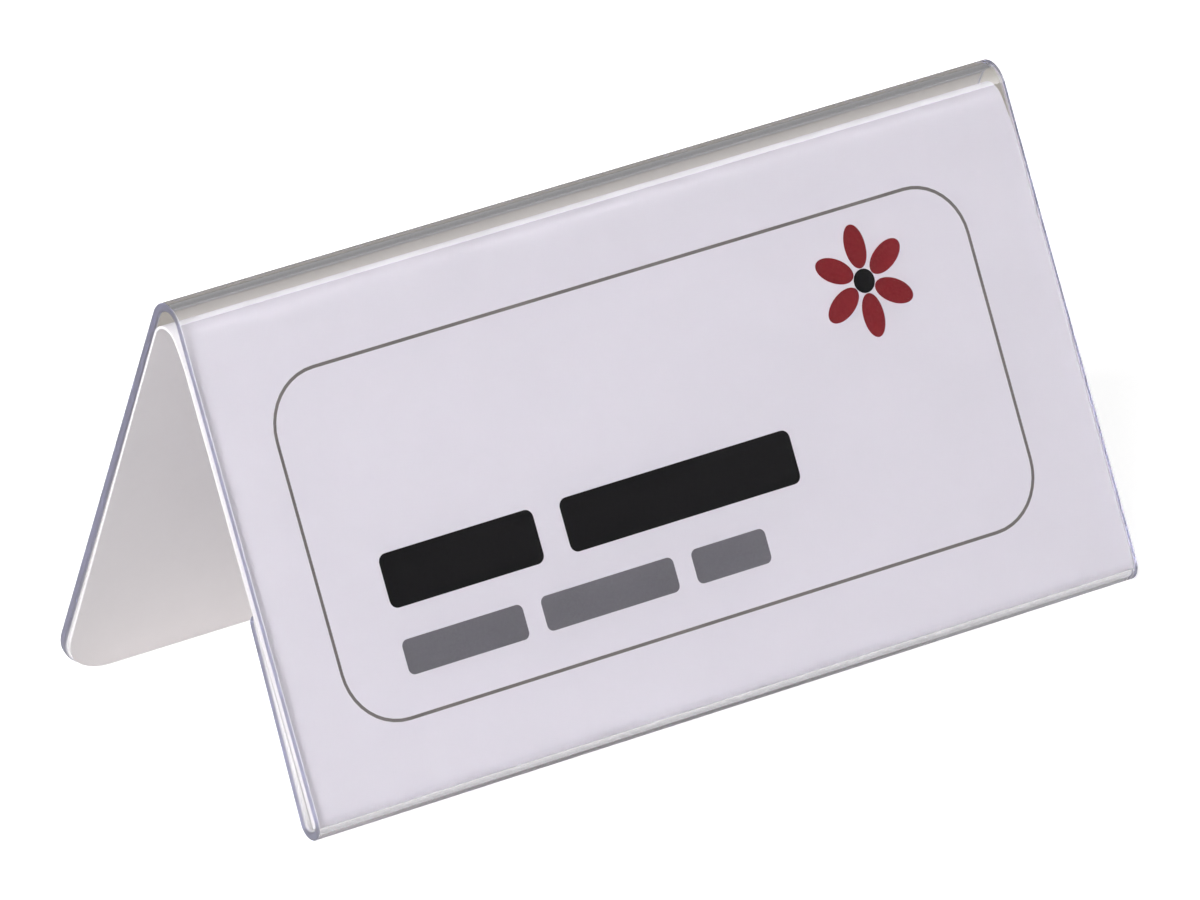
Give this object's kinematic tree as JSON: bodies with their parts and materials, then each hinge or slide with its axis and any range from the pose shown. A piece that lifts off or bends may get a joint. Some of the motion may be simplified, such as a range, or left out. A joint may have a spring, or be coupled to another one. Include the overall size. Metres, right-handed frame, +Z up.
{
  "type": "desk name plate",
  "caption": "Free-standing tent name plate: clear bent plastic holder with a rounded ridge and a lipped U-shaped foot, holding a folded white card that slides out at either end.",
  "frame": {"origin": "on the table, in the middle of the footprint", "axes": "+X along the ridge, -Y towards the reader, +Z up"},
  "size_m": [0.1, 0.0498, 0.0498],
  "materials": {
    "clear_plastic": "clear, polished, with a faint blue cast at the cut edges",
    "card": "matte white card stock"
  },
  "bodies": {
    "holder": {"clear_holder": "clear_plastic"},
    "card": {"name_card": "card"}
  },
  "joints": [
    {"name": "card_slide", "type": "slide", "parent": "holder", "child": "card", "axis": [1, 0, 0], "range_m": [-0.101, 0.101]}
  ]
}
